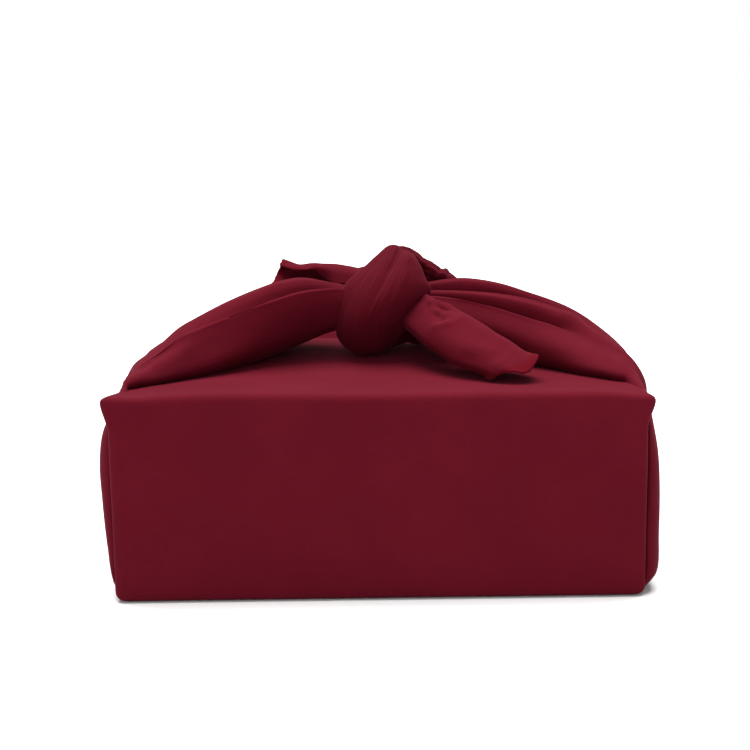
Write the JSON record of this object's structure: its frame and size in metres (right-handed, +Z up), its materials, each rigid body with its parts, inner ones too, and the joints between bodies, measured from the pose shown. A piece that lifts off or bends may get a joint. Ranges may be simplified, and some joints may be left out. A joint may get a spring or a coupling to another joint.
{
  "type": "furoshiki wrap tied around a plain box",
  "caption": "Wine-red square cloth folded around a box, its corners gathered into pleated bands and tied on top in a square knot with free ends, as a carrying wrap.",
  "frame": {"origin": "centre of the wrapped box's underside, on the surface it stands on", "axes": "+X along the long side, from the left band to the right band; -Y is the smooth front face; +Z up through the knot"},
  "size_m": [0.2646, 0.2052, 0.1611],
  "materials": {
    "cloth": "matte plain weave",
    "card": "matte"
  },
  "bodies": {
    "root": {"furoshiki": "cloth", "box": "card"}
  },
  "joints": []
}
